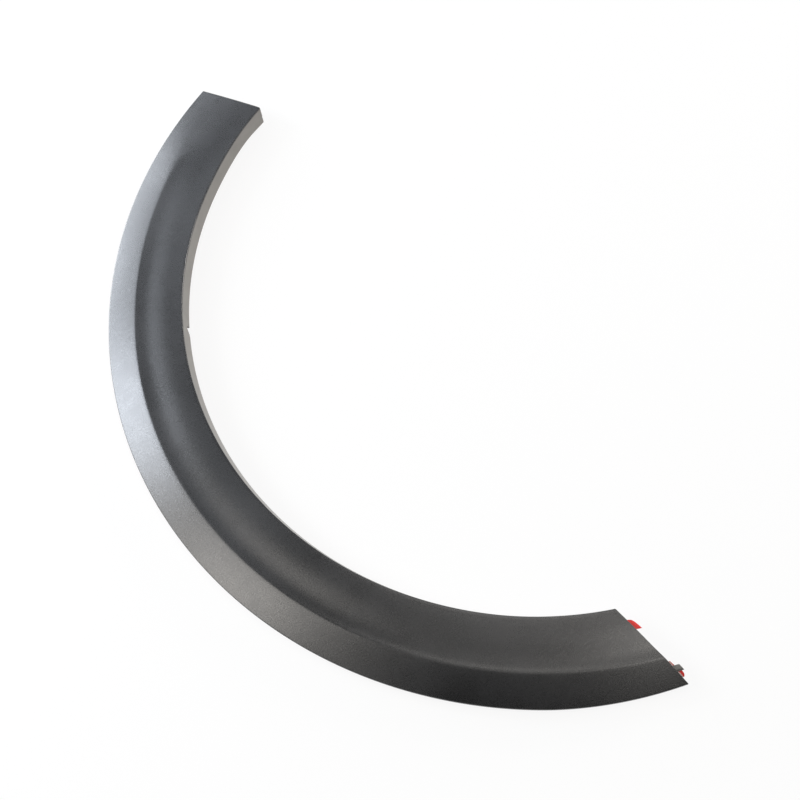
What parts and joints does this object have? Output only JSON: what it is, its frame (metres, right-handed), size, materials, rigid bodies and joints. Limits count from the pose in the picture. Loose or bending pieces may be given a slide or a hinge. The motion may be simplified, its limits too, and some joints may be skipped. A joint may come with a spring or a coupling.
{
  "type": "wheel arch trim",
  "caption": "Moulded arch trim for one quarter of a car's wheel opening, with a bevelled band, a return lip, push-in clips and adhesive tape.",
  "frame": {"origin": "centre of the part's box in plan, at the height of the clip tips that it lies on", "axes": "+Z out of the face, +Y towards the squared upper end, +X towards the mitred end"},
  "size_m": [0.5694, 0.7167, 0.0315],
  "materials": {
    "trim_plastic": "fine moulded grain, dark grey",
    "foam_tape": "closed-cell acrylic foam, dark grey",
    "release_liner": "smooth red film",
    "clip_nylon": "natural nylon"
  },
  "bodies": {
    "root": {"moulding": "trim_plastic", "tape_inner": "foam_tape", "tape_outer": "foam_tape", "liner_inner": "release_liner", "liner_outer": "release_liner", "clip_1": "clip_nylon", "clip_2": "clip_nylon", "clip_3": "clip_nylon", "clip_4": "clip_nylon", "clip_5": "clip_nylon", "clip_6": "clip_nylon", "clip_7": "clip_nylon"}
  },
  "joints": []
}
